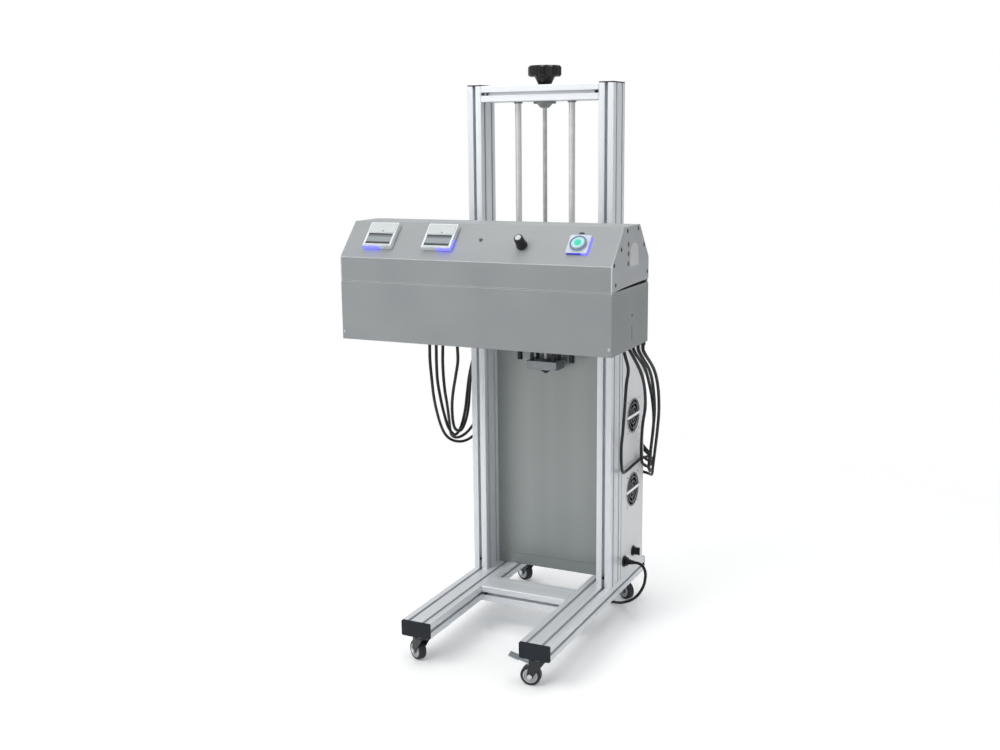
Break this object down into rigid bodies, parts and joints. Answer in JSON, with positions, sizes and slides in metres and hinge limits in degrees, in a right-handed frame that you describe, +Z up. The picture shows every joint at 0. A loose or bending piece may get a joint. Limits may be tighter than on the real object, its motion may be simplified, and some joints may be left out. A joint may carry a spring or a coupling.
{
  "type": "induction sealing machine",
  "caption": "Freestanding induction cap sealer: wide sealing head on a screw-driven lift between slotted aluminium uprights, base cabinet, side fans and swivel casters.",
  "frame": {"origin": "on the floor under the middle of the machine's box, measured without its cords", "axes": "+X to the right seen from the control panel, +Y to the back, +Z up"},
  "size_m": [0.69, 0.9324, 1.4613],
  "materials": {
    "profile": "anodised, fine matt, T-slotted extrusion",
    "black_plastic": "moulded, slightly textured",
    "bright_steel": "ground and polished",
    "zinc_steel": "zinc plated",
    "black_steel": "black coated steel",
    "pale_paint": "pale grey powder coat",
    "grey_paint": "mid grey fine-texture powder coat",
    "brushed_panel": "brushed sheet",
    "machined": "machined aluminium",
    "brass": "turned",
    "rubber": "smooth cable jacket",
    "tyre": "moulded tyre on a pale hub",
    "insulator": "laminated insulating sheet",
    "ferrite": "sintered",
    "winding": "wound and varnished wire",
    "board": "coated laminate",
    "meter_case": "moulded frame",
    "window": "dark tinted window",
    "teal": "lit button",
    "device": null
  },
  "bodies": {
    "stand": {"left_upright": "profile", "right_upright": "profile", "upright_caps": "black_plastic", "top_crossbar": "profile", "lower_crossbar": "profile", "base_crossbar": "profile", "left_leg": "profile", "right_leg": "profile", "leg_caps": "black_plastic", "frame_fasteners": "black_steel", "guide_rods": "bright_steel", "screw_top_bearing": "black_steel", "screw_lower_bearing": "machined", "caster_plates": "zinc_steel", "cabinet_shell": "pale_paint", "cabinet_front_panel": "brushed_panel", "fan_frames": "black_plastic", "fan_guards": "zinc_steel", "mains_fittings": "black_plastic", "inverter_unit": "device", "cabinet_glands": "black_plastic", "left_cables": "rubber", "right_cables": "rubber", "inlet_connector": "rubber", "mains_cord": "rubber", "mains_cord_coil": "rubber", "mains_plug": "rubber"},
    "screw": {"lead_screw": "zinc_steel", "hand_knob": "black_plastic"},
    "head": {"carriage_block": "machined", "linear_bearings": "zinc_steel", "lead_nut": "brass", "head_arms": "profile", "head_lower_box": "grey_paint", "upper_cover": "grey_paint", "end_plates": "grey_paint", "cover_seal": "rubber", "sealing_plate": "insulator", "ferrite_cores": "ferrite", "induction_coil": "winding", "control_board": "board", "panel_meters": "meter_case", "meter_windows": "window", "panel_fittings": "black_steel", "head_glands": "black_plastic"},
    "power_dial": {"power_knob": "black_plastic"},
    "start_key": {"start_button": "teal"},
    "mains_handle": {"mains_switch_knob": "bright_steel"},
    "fan_upper": {"fan_rotor_upper": "black_plastic"},
    "fan_lower": {"fan_rotor_lower": "black_plastic"},
    "caster_fl": {"caster_fork_fl": "black_steel"},
    "wheel_fl": {"caster_wheel_fl": "tyre"},
    "pedal_fl": {"brake_pedal_fl": "zinc_steel"},
    "caster_fr": {"caster_fork_fr": "black_steel"},
    "wheel_fr": {"caster_wheel_fr": "tyre"},
    "pedal_fr": {"brake_pedal_fr": "zinc_steel"},
    "caster_rl": {"caster_fork_rl": "black_steel"},
    "wheel_rl": {"caster_wheel_rl": "tyre"},
    "caster_rr": {"caster_fork_rr": "black_steel"},
    "wheel_rr": {"caster_wheel_rr": "tyre"}
  },
  "joints": [
    {"name": "head_lift", "type": "slide", "parent": "stand", "child": "head", "axis": [0, 0, 1], "range_m": [-0.014, 0.3], "deforming": ["left_cables", "right_cables"]},
    {"name": "screw_spin", "type": "hinge", "parent": "stand", "child": "screw", "pos_m": [0, 0.1, 1], "axis": [0, 0, 1], "range_deg": [-36010, 1690]},
    {"name": "power_knob_turn", "type": "hinge", "parent": "head", "child": "power_dial", "pos_m": [0.118, -0.29985, 1.04658], "axis": [0, -0.7364, 0.6766], "range_deg": [-135, 135]},
    {"name": "start_press", "type": "slide", "parent": "head", "child": "start_key", "axis": [0, 0.7364, -0.6766], "range_m": [0, 0.0025], "stiffness_N_per_m": 600, "springref_m": -0.0005},
    {"name": "mains_switch_turn", "type": "hinge", "parent": "stand", "child": "mains_handle", "pos_m": [0.2, 0.236, 0.167], "axis": [1, 0, 0], "range_deg": [0, 90]},
    {"name": "fan_upper_spin", "type": "hinge", "parent": "stand", "child": "fan_upper", "pos_m": [0.185, 0.228, 0.551], "axis": [1, 0, 0], "continuous": true},
    {"name": "fan_lower_spin", "type": "hinge", "parent": "stand", "child": "fan_lower", "pos_m": [0.185, 0.228, 0.345], "axis": [1, 0, 0], "continuous": true},
    {"name": "caster_swivel_fl", "type": "hinge", "parent": "stand", "child": "caster_fl", "pos_m": [-0.16, -0.306, 0.066], "axis": [0, 0, 1], "continuous": true},
    {"name": "wheel_spin_fl", "type": "hinge", "parent": "caster_fl", "child": "wheel_fl", "pos_m": [-0.17943, -0.29567, 0.025], "axis": [-0.4695, -0.8829, 0], "continuous": true},
    {"name": "brake_press_fl", "type": "hinge", "parent": "caster_fl", "child": "pedal_fl", "pos_m": [-0.1653, -0.30318, 0.057], "axis": [-0.4695, -0.8829, 0], "range_deg": [0, 7]},
    {"name": "caster_swivel_fr", "type": "hinge", "parent": "stand", "child": "caster_fr", "pos_m": [0.16, -0.306, 0.066], "axis": [0, 0, 1], "continuous": true},
    {"name": "wheel_spin_fr", "type": "hinge", "parent": "caster_fr", "child": "wheel_fr", "pos_m": [0.13833, -0.30982, 0.025], "axis": [0.1736, -0.9848, 0], "continuous": true},
    {"name": "brake_press_fr", "type": "hinge", "parent": "caster_fr", "child": "pedal_fr", "pos_m": [0.15409, -0.30704, 0.057], "axis": [0.1736, -0.9848, 0], "range_deg": [0, 7]},
    {"name": "caster_swivel_rl", "type": "hinge", "parent": "stand", "child": "caster_rl", "pos_m": [-0.142, 0.306, 0.066], "axis": [0, 0, 1], "continuous": true},
    {"name": "wheel_spin_rl", "type": "hinge", "parent": "caster_rl", "child": "wheel_rl", "pos_m": [-0.1621, 0.31495, 0.025], "axis": [-0.4067, -0.9135, 0], "continuous": true},
    {"name": "caster_swivel_rr", "type": "hinge", "parent": "stand", "child": "caster_rr", "pos_m": [0.142, 0.306, 0.066], "axis": [0, 0, 1], "continuous": true},
    {"name": "wheel_spin_rr", "type": "hinge", "parent": "caster_rr", "child": "wheel_rr", "pos_m": [0.16105, 0.295, 0.025], "axis": [0.5, 0.866, 0], "continuous": true}
  ],
  "couplings": [
    {"joint": "screw_spin", "follows": "head_lift", "rad_per_m": -2094.4}
  ]
}
